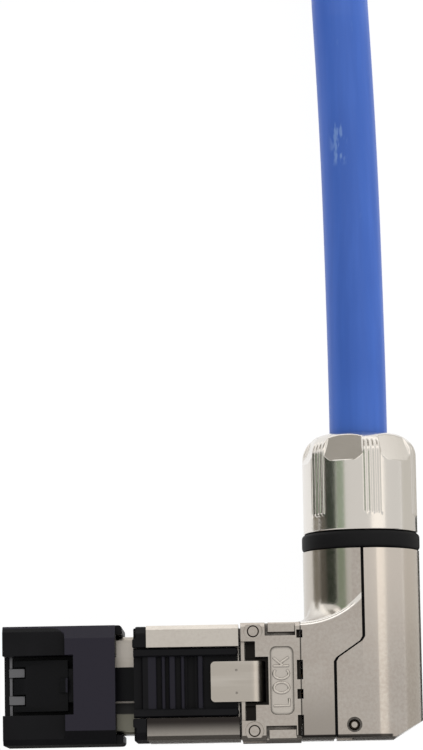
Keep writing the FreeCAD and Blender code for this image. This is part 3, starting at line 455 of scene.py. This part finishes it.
def addSeamShadeStrip(spec):
    # a black strip set down in the seam as painted shade for the gap: one four-cornered section at each point, closed
    # at both ends
    h = spec["half"]
    rows = [[(x - h, y, spec["low"]), (x - h, y, spec["high"]), (x + h, y, spec["high"]), (x + h, y, spec["low"])]
            for x, y in spec["line"]]
    faces = gridFaces(len(rows), 4, False, True).tolist()
    last = 4 * len(rows) - 4
    faces += [[3, 2, 1, 0], [last, last + 1, last + 2, last + 3]]
    piece = linkMesh("seamShadeStrip", np.array(rows).reshape(-1, 3), faces, smooth=False)
    turnOutwards(piece)
    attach(piece, "root")
    return piece


# a dark strip in the seam, standing for the shade in the gap
seamShadeStrip = addSeamShadeStrip(seam)
print("shadeStrip laid in the seam")


class Value:
    # one socket of a material, so that sums and products are written as Python
    def __init__(self, sheet, socket):
        self.sheet = sheet
        self.socket = socket

    def maths(self, kind, *others, swap=False):
        values = (self,) + others
        if swap:
            values = values[::-1]
        return self.sheet.node("ShaderNodeMath", {"operation": kind}, dict(enumerate(values)))

    def __add__(self, other): return self.maths("ADD", other)
    def __radd__(self, other): return self.maths("ADD", other)
    def __sub__(self, other): return self.maths("SUBTRACT", other)
    def __rsub__(self, other): return self.maths("SUBTRACT", other, swap=True)
    def __mul__(self, other): return self.maths("MULTIPLY", other)
    def __rmul__(self, other): return self.maths("MULTIPLY", other)
    def __pow__(self, other): return self.maths("POWER", other)
    def clamp(self): return self.maths("MINIMUM", 1.0).maths("MAXIMUM", 0.0)

    def ramp(self, low, high):
        # 0 at low, 1 at high, smooth between them
        return self.sheet.node("ShaderNodeMapRange", {"interpolation_type": "SMOOTHSTEP"},
                               {0: self, 1: low, 2: high, 3: 0.0, 4: 1.0})


class Sheet:
    # a material being written: nodes are added by type, settings and socket values
    def __init__(self, name):
        self.material = bpy.data.materials.new(name)
        self.material.use_nodes = True
        self.tree = self.material.node_tree
        self.tree.nodes.clear()

    def node(self, kind, settings=None, inputs=None, out=0):
        made = self.tree.nodes.new(kind)
        for key, value in (settings or {}).items():
            setattr(made, key, value)
        for key, value in (inputs or {}).items():
            socket = made.inputs[key]
            if isinstance(value, Value):
                self.tree.links.new(value.socket, socket)
            elif isinstance(value, tuple) and len(value) == 3 and socket.type == "RGBA":
                socket.default_value = (*value, 1)
            else:
                socket.default_value = value
        return Value(self, made.outputs[out])

    def place(self, scale=(1, 1, 1), turn=(0, 0, 0)):
        where = self.node("ShaderNodeTexCoord", out="Object")
        return self.node("ShaderNodeMapping", {}, {"Vector": where, "Scale": scale, "Rotation": turn})

    def noise(self, where, scale, detail):
        return self.node("ShaderNodeTexNoise", {"noise_dimensions": "3D"},
                         {"Vector": where, "Scale": scale, "Detail": detail, "Roughness": 0.5})

    def mix(self, factor, a, b):
        return self.node("ShaderNodeMix", {"data_type": "RGBA"}, {0: factor, 6: a, 7: b}, out=2)

    def paintedShade(self, reach, low, high):
        # painted shade: 0 in slots and inner corners, 1 on open faces
        near = self.node("ShaderNodeAmbientOcclusion", {"samples": 8}, {"Distance": reach}, out=1)
        return near.ramp(low, high)

    def along(self, axis):
        # one object coordinate, in millimetres
        where = self.node("ShaderNodeTexCoord", out="Object")
        return self.node("ShaderNodeSeparateXYZ", {}, {0: where}, out=axis) * 1000.0

    def within(self, box, soft=0.05):
        # 1 inside a box given in millimetres along X, Y, Z; None leaves an axis free
        whole = None
        for axis, span in enumerate(box):
            if span is None:
                continue
            at = self.along(axis)
            part = at.ramp(span[0], span[0] + soft) * (1.0 - at.ramp(span[1] - soft, span[1]))
            whole = part if whole is None else whole * part
        return whole

    def washes(self, tone, places):
        # places with a tone of their own, painted light and shade among them, one over the other: a box, how soft its
        # edge is, a fade along Y, a share
        for place in places:
            mask = self.within(place["box"], place.get("soft", 0.05))
            if "fade" in place:
                mask = mask * self.along(1).ramp(*place["fade"])
            if "share" in place:
                mask = mask * place["share"]
            tone = self.mix(mask, tone, place["tone"])
        return tone

    def bump(self, height, strength, distance):
        return self.node("ShaderNodeBump", {}, {"Strength": strength, "Distance": distance, "Height": height})

    def surface(self, **inputs):
        shader = self.node("ShaderNodeBsdfPrincipled", {}, {k.replace("_", " "): v for k, v in inputs.items()})
        self.finish(shader)
        return self.material

    def finish(self, shader):
        out = self.tree.nodes.new("ShaderNodeOutputMaterial")
        self.tree.links.new(shader.socket, out.inputs["Surface"])


print("shader tools ready")

neckPlace = ((-8, -0.25), (7.2, 15.8), (0, 14.2))

dieCast = {
    "warm": (0.49, 0.44, 0.395), "cool": (0.56, 0.52, 0.475), "shadow": (0.02, 0.018, 0.016),
    "smooth": 0.15, "dull": 0.23,
    # patterns: scale, detail, and their share of the mottling; relief: shares of fine and coarse, strength, depth
    "cloud": (260, 4), "cloudShare": 0.45, "fine": (2600, 3), "fineShare": 0.55, "mottle": (0.3, 0.7),
    "coarse": (900, 2), "relief": (0.7, 0.6), "pits": (0.1, 0.00003),
    # tones by place, in millimetres
    "strips": {"tone": (0.68, 0.635, 0.58), "box": ((-26.2, -14.85), None, None), "mottled": 0.25},
    "places": [
        {"tone": (0.69, 0.63, 0.57), "box": ((-0.2, 9), (-3, 16), None), "fade": (-2, 15)},           # painted light, lighter towards the neck
        {"tone": (0.39, 0.355, 0.32), "box": ((-7.7, -3.4), (-8, 2), (13, 15)), "fade": (1, -6)},     # painted shade, darker towards the low end
        {"tone": (0.775, 0.74, 0.695), "box": (None, (17.8, 31), None)},                              # nut
        {"tone": (0.55, 0.51, 0.46), "box": neckPlace},
        {"tone": (0.74, 0.70, 0.64), "box": ((-6.6, -0.25), (7.2, 10.0), (0, 14.0)), "soft": 0.9},    # painted highlight in the hollow shoulder
        {"tone": (0.02, 0.018, 0.016), "box": ((-8.3, -6.9), (-6.6, 6.6), (0, 14.05))},               # painted shade in the slots
        # painted shade along the joint between the lock block and the housing
        {"tone": (0.13, 0.12, 0.105), "box": ((-7.72, -7.44), (-6.8, 6.6), (0, 14.4)), "soft": 0.1, "share": 0.75},
        # painted shade on the rounded low edge of the housing and its cover
        {"tone": (0.02, 0.018, 0.016), "box": ((-7.6, 4.2), (-7.2, -6.42), (13.6, 14.6)), "soft": 0.12, "share": 0.92},
        {"tone": (0.62, 0.575, 0.525), "box": ((-11.2, -8.5), (-4.0, 4.0), (13.8, 14.2))},            # pad
        {"tone": (0.02, 0.018, 0.016), "box": ((-14.24, -11.3), (-4.75, 4.75), (0, 14.1))},           # painted shade in the clip's room
    ],
    # painted highlight along the shoulder's curved rim
    "rim": {"tone": (0.90, 0.87, 0.83), "box": ((-7.6, -0.2), (6.5, 11), (13.5, 14.4)),
            "inner": (9.7, 9.8), "outer": (10.2, 10.35)},
    # painted shadow on the lower strip, darkest by the lever and half as dark at the edge
    "lowStripShadow": {"tone": (0.035, 0.03, 0.028), "box": ((-26.2, -14.85), (-7.2, -4.0), (13, 15)),
                 "fade": (-4.6, -6.4), "fadedBy": 0.5},
    # painted shade around the raised letters and the pad's edge
    "wordEdgeShade": {"tone": (0.13, 0.12, 0.105), "box": ((-11.7, -8.1), (-4.4, 4.4), (13.6, 14.4)),
                 "paintedShade": (0.0004, 0.5, 0.97)},
    # painted shade in slots and inner corners
    "paintedShade": (0.0012, 0.12, 0.62),
}


def dieCastNickel(spec):
    # satin nickel over a die casting: soft mottling, faint pits, painted shade in the slots and painted light by place
    s = Sheet("dieCastNickel")
    where = s.place()
    cloud = s.noise(where, *spec["cloud"])
    fine = s.noise(where, *spec["fine"])
    mottle = (cloud * spec["cloudShare"] + fine * spec["fineShare"]).ramp(*spec["mottle"])
    tone = s.mix(mottle, spec["warm"], spec["cool"])
    strips = spec["strips"]
    share = mottle * strips["mottled"] + (1 - strips["mottled"])
    tone = s.mix(s.within(strips["box"]) * share, tone, strips["tone"])
    tone = s.washes(tone, spec["places"])
    # painted highlight along the rim of the shoulder's curved wall
    rim = spec["rim"]
    x, y = casting["arcCentre"]
    dx, dy = s.along(0) - x, s.along(1) - y
    fromCentre = (dx * dx + dy * dy) ** 0.5
    onRimLine = fromCentre.ramp(*rim["inner"]) * (1.0 - fromCentre.ramp(*rim["outer"]))
    tone = s.mix(onRimLine * s.within(rim["box"]), tone, rim["tone"])
    # painted shadow on the lower strip
    low = spec["lowStripShadow"]
    share = 1.0 - s.along(1).ramp(*low["fade"]) * low["fadedBy"]
    tone = s.mix(s.within(low["box"]) * share, tone, low["tone"])
    # painted shade at the foot of the letters
    word = spec["wordEdgeShade"]
    tone = s.mix(s.within(word["box"]) * (1.0 - s.paintedShade(*word["paintedShade"])), tone, word["tone"])
    # painted shade darkens slots and inner corners, though not on the neck
    openFace = (s.paintedShade(*spec["paintedShade"]) + s.within(neckPlace)).clamp()
    rough = spec["dull"] - mottle * (spec["dull"] - spec["smooth"])
    fineRelief, coarseRelief = spec["relief"]
    relief = s.bump(fine * fineRelief + s.noise(where, *spec["coarse"]) * coarseRelief, *spec["pits"])
    return s.surface(Base_Color=s.mix(openFace, spec["shadow"], tone), Metallic=1.0, Roughness=rough, Normal=relief)


thinSheet = {
    "dull": (0.52, 0.48, 0.43), "bright": (0.60, 0.56, 0.51), "shadow": (0.03, 0.03, 0.03),
    "stretch": (60, 900, 900), "detail": 4, "contrast": (0.35, 0.65), "rough": (0.12, 0.26),
    "marks": (0.12, 0.00002), "paintedShade": (0.0008, 0.1, 0.6),
    "places": [
        {"tone": (0.16, 0.16, 0.17), "box": ((-44, -39), None, None)},                                # painted shade on the legs in the cap
        # painted shade on the nose's lower side
        {"tone": (0.20, 0.195, 0.16), "box": ((-30.5, -27.3), (-7, -3.2), None)},
        {"tone": (0.03, 0.03, 0.03), "box": ((-30.5, -27.3), (-3.55, -2.0), None), "soft": 0.2},      # painted shadow beside the latch
    ],
}


def platedSheet(spec):
    # nickel on thin sheet, with fine marks along its length, and painted shade in corners and by place
    s = Sheet("platedSheet")
    marks = s.noise(s.place(spec["stretch"]), 1.0, spec["detail"])
    tone = s.washes(s.mix(marks.ramp(*spec["contrast"]), spec["dull"], spec["bright"]), spec["places"])
    share, least = spec["rough"]
    return s.surface(Base_Color=s.mix(s.paintedShade(*spec["paintedShade"]), spec["shadow"], tone), Metallic=1.0,
                     Roughness=marks * share + least, Normal=s.bump(marks, *spec["marks"]))


moulding = {
    "deep": (0.003, 0.003, 0.0045), "rubbed": (0.006, 0.006, 0.008), "specular": 0.14,
    "rough": (0.12, 0.06, 0.36),       # share of the grain, share of the rubbing, base
    "grain": (4200, 2), "cloud": (120, 4), "rubbing": (0.42, 0.75), "relief": (0.2, 0.00003),
    # painted highlight on the lever's rib tops
    "ribs": {"tone": (0.015, 0.014, 0.022), "box": ((-25.8, -16), (-3.2, 3.2), (13.3, 13.6))},
    # the cap's upper face, and its cheeks, whose rear outer corners are round
    "cap": {"tone": (0.021, 0.019, 0.030), "box": ((-44, -29.7), (-5.5, 8), (11.4, 14)),
            "cheek": (-37.2, 5.35), "corner": 1.5, "soft": 0.04},
}


def blackMoulding(spec):
    # spark-eroded black plastic, rubbed a little lighter in places, with a painted highlight on the lever's rib tops
    s = Sheet("blackMoulding")
    where = s.place()
    grain = s.noise(where, *spec["grain"])
    rubbed = s.noise(where, *spec["cloud"]).ramp(*spec["rubbing"])
    tone = s.washes(s.mix(rubbed, spec["deep"], spec["rubbed"]), [spec["ribs"]])
    cap = spec["cap"]
    x, y = cap["cheek"]
    past = (s.along(0) - x).maths("MAXIMUM", 0.0)
    aside = (s.along(1).maths("ABSOLUTE") - y).maths("MAXIMUM", 0.0)
    fromCheek = (past * past + aside * aside) ** 0.5
    face = s.within(cap["box"]) * fromCheek.ramp(cap["corner"] - cap["soft"], cap["corner"] + cap["soft"])
    grainShare, rubbedShare, least = spec["rough"]
    return s.surface(Base_Color=s.mix(face, tone, cap["tone"]), Normal=s.bump(grain, *spec["relief"]),
                     Roughness=grain * grainShare + rubbed * rubbedShare + least,
                     Specular_IOR_Level=spec["specular"])


sheath = {
    "deep": (0.038, 0.122, 0.50), "bright": (0.050, 0.150, 0.58), "scuffed": (0.13, 0.26, 0.60),
    "streak": ((700, 25, 700), 3), "cloud": (55, 3), "scuff": ((500, 160, 500), 5), "fine": (1500, 2),
    "contrast": (0.35, 0.65), "scuffing": (0.64, 0.78), "scuffShare": 0.35,
    # a worn spot, in millimetres
    "mark": {"tone": (0.20, 0.34, 0.68), "box": ((-3.0, -0.4), (63.0, 69.0), (4, 12)), "soft": 1.1, "share": 0.7,
             "stretch": (1500, 400, 600), "turn": (0, 0, 0.5), "rubbing": (0.5, 0.62)},
    "toneShares": (0.5, 0.5), "reliefShares": (0.6, 0.4), "relief": (0.12, 0.00004),
    "rough": (0.15, 0.1, 0.36), "specular": 0.28,      # shares of the scuffs and the streaks, base
}


def blueSheath(spec):
    # extruded jacket: faint streaks along the run and a few paler scuffs
    s = Sheet("blueSheath")
    stretch, detail = spec["streak"]
    streak = s.noise(s.place(stretch), 1.0, detail)
    cloud = s.noise(s.place(), *spec["cloud"])
    stretch, detail = spec["scuff"]
    scuff = s.noise(s.place(stretch), 1.0, detail).ramp(*spec["scuffing"])
    streaks, clouds = spec["toneShares"]
    base = s.mix((streak * streaks + cloud * clouds).ramp(*spec["contrast"]), spec["deep"], spec["bright"])
    tone = s.mix(scuff * spec["scuffShare"], base, spec["scuffed"])
    mark = spec["mark"]
    rubbed = s.noise(s.place(mark["stretch"], mark["turn"]), 1.0, 2).ramp(*mark["rubbing"])
    tone = s.mix(s.within(mark["box"], mark["soft"]) * rubbed * mark["share"], tone, mark["tone"])
    streaks, fines = spec["reliefShares"]
    relief = s.bump(streak * streaks + s.noise(s.place(), *spec["fine"]) * fines, *spec["relief"])
    scuffs, streaks, least = spec["rough"]
    return s.surface(Base_Color=tone, Roughness=scuff * scuffs + streak * streaks + least, Normal=relief,
                     Specular_IOR_Level=spec["specular"])


speckled = {
    # slot: material, scale and detail of its pattern, two tones, roughness as a share of the pattern and a base
    "black_rubber": {"name": "blackRubber", "pattern": (3000, 2), "rough": (0.15, 0.5), "relief": (0.15, 0.00003),
                     "tones": ((0.004, 0.004, 0.005), (0.008, 0.008, 0.009)),
                     "sockets": {"Specular_IOR_Level": 0.14}},
    "clear_plastic": {"name": "clearPlastic", "pattern": (300, 2), "tones": ((0.45, 0.46, 0.46), (0.58, 0.59, 0.58)),
                      "rough": (0.1, 0.15)},
    "gold": {"name": "goldContacts", "pattern": (1.0, 3), "stretch": (200, 900, 900),
             "tones": ((0.80, 0.55, 0.20), (0.90, 0.70, 0.34)), "rough": (0.12, 0.18), "sockets": {"Metallic": 1.0}},
    "board": {"name": "boardMask", "pattern": (1200, 2), "tones": ((0.01, 0.12, 0.05), (0.02, 0.19, 0.08)),
              "rough": (0.1, 0.3)},
    "white_plastic": {"name": "ivoryMoulding", "pattern": (500, 3), "tones": ((0.68, 0.67, 0.63), (0.78, 0.77, 0.74)),
                      "rough": (0.1, 0.42)},
    "core_sleeves": {"name": "coreSleeves", "pattern": (90, 2), "tones": ((0.75, 0.35, 0.08), (0.85, 0.60, 0.35)),
                     "rough": (0.1, 0.4)},
    "braid": {"name": "tinnedBraid", "pattern": (1.0, 2), "stretch": (2500, 900, 2500),
              "tones": ((0.45, 0.43, 0.40), (0.75, 0.73, 0.70)), "rough": (0.2, 0.3), "relief": (0.5, 0.0001),
              "sockets": {"Metallic": 1.0}},
}


def speckledFinish(spec):
    # one fine pattern moves the tone between two colours, and the roughness with it
    s = Sheet(spec["name"])
    pattern = s.noise(s.place(spec.get("stretch", (1, 1, 1))), *spec["pattern"])
    share, least = spec["rough"]
    sockets = dict(spec.get("sockets", {}))
    if "relief" in spec:
        sockets["Normal"] = s.bump(pattern, *spec["relief"])
    return s.surface(Base_Color=s.mix(pattern, *spec["tones"]), Roughness=pattern * share + least, **sockets)


finishes = {"nickel": dieCastNickel(dieCast), "plated_sheet": platedSheet(thinSheet),
            "black_plastic": blackMoulding(moulding), "cable_blue": blueSheath(sheath)}
finishes.update({slot: speckledFinish(spec) for slot, spec in speckled.items()})
slotOf = {p["node"]: p["material_slot"] for p in frame["record"]["subparts"]}


def dress(piece, slot):
    piece.data.materials.clear()
    piece.data.materials.append(finishes[slot])


for name, piece in nodes.items():
    dress(piece, slotOf[name])
for node, piece in castings.items():
    dress(piece, slotOf[node])
dress(glandNut, "nickel")
dress(neckRing, "black_rubber")
dress(shoulderBlend, "nickel")
dress(padLetters, "nickel")
dress(seamShadeStrip, "black_rubber")
dress(cableJacket, "cable_blue")
print("finishes set")

studio = {
    "floor": 3.0, "floorCentre": (0, 0.05, -0.0002), "floorGlow": 0.92, "floorStrength": 1.05,
    "matt": (0.85, 0.85, 0.85),
    "sky": (1.0, 0.985, 0.96), "skyStrength": 0.76,
}


def glowing(name, colour, strength=1.0, share=1.0):
    # a plain light-giving finish, the rest of it matt white
    s = Sheet(name)
    light = s.node("ShaderNodeEmission", {}, {"Color": colour, "Strength": strength})
    matt = s.node("ShaderNodeBsdfDiffuse", {}, {"Color": studio["matt"]})
    s.finish(s.node("ShaderNodeMixShader", {}, {0: share, 1: matt, 2: light}))
    return s.material


def flatPlate(name, centre, acrossA, acrossB, finish):
    # a four-cornered plate given by its centre and two half sides, in metres
    c, a, b = (np.array(v, float) for v in (centre, acrossA, acrossB))
    plate = linkMesh(name, np.array([c - a - b, c + a - b, c + a + b, c - a + b]) / mm, [(0, 1, 2, 3)], smooth=False)
    plate.data.materials.append(finish)
    return plate


flatPlate("floor", studio["floorCentre"], (studio["floor"], 0, 0), (0, studio["floor"], 0),
          glowing("floorWhite", (1, 1, 1), studio["floorStrength"], studio["floorGlow"]))

# white and grey cards that shape the bands on the metal
cards = {
    # name: centre, half sides in metres, colour of its light
    "leftLow": ((-0.40, 0.04, 0.061), (0, 0.13, 0), (0, 0, 0.061), (0.12, 0.11, 0.09)),
    "leftMiddle": ((-0.40, 0.04, 0.229), (0, 0.13, 0), (0, 0, 0.107), (0.028, 0.038, 0.026)),
    "leftHigh": ((-0.40, 0.04, 0.50), (0, 0.13, 0), (0, 0, 0.14), (0.29, 0.36, 0.26)),
    "leftGround": ((-0.216, 0.0225, 0.0004), (0.184, 0, 0), (0, 0.0135, 0), (0.26, 0.24, 0.20)),
    "rightEdge": ((0.0105, 0.004, 0.0004), (0.002, 0, 0), (0, 0.025, 0), (0.05, 0.05, 0.045)),
    "rightGround": ((0.15, 0.065, 0.0004), (0.137, 0, 0), (0, 0.09, 0), (0.66, 0.64, 0.60)),
    "rightHigh": ((0.30, 0.05, 0.43), (0.11, 0, -0.08), (0, 0.3, 0), (1.2, 1.16, 1.1)),
    "front": ((0, -0.12, 0.035), (0.35, 0, 0), (0, 0, 0.035), (0.14, 0.135, 0.13)),
    "frontEdge": ((-0.018, -0.01145, 0.0001), (0.06, 0, 0), (0, 0.00455, 0), (0.06, 0.057, 0.053)),
    "frontGround": ((-0.018, -0.068, 0.0001), (0.06, 0, 0), (0, 0.052, 0), (0.34, 0.33, 0.31)),
    "back": ((-0.03, 0.085, 0.013), (0.16, 0, 0), (0, 0, 0.013), (1.25, 1.23, 1.2)),
    "backHigh": ((-0.03, 0.30, 0.28), (0.25, 0, 0), (0, -0.09, 0.09), (1.35, 1.32, 1.28)),
    "nutShade": ((-0.02, 0.055, 0.034), (0.025, 0, 0), (0, 0, 0.012), (0.36, 0.345, 0.315)),
}
for name, (centre, halfA, halfB, colour) in cards.items():
    card = flatPlate(name + "Card", centre, halfA, halfB, glowing(name + "Card", colour))
    card.visible_camera = False       # seen only in reflections
    card.visible_diffuse = False
    card.visible_shadow = False

# metres
lamp = {"place": (0.50, 0.05, 0.36), "aim": (0, 0.03, 0), "size": (0.3, 0.5),
        "watts": 0.8, "colour": (1.0, 0.98, 0.95)}


def softLight(name, spec):
    # a lamp that metal doesn't mirror
    light = bpy.data.lights.new(name, "AREA")
    light.shape = "RECTANGLE"
    light.size, light.size_y = spec["size"]
    light.energy = spec["watts"]
    light.color = spec["colour"]
    stand = bpy.data.objects.new(name, light)
    scene.collection.objects.link(stand)
    stand.location = spec["place"]
    stand.rotation_euler = (Vector(spec["aim"]) - Vector(spec["place"])).to_track_quat("-Z", "Y").to_euler()
    stand.visible_glossy = False


softLight("boxRight", lamp)
world = bpy.data.worlds.new("studioAir")
scene.world = world
world.use_nodes = True
air = world.node_tree.nodes["Background"]
air.inputs["Color"].default_value = (*studio["sky"], 1)
air.inputs["Strength"].default_value = studio["skyStrength"]
scene.view_settings.view_transform = "Standard"
print("studio lit")

bpy.context.view_layer.update()
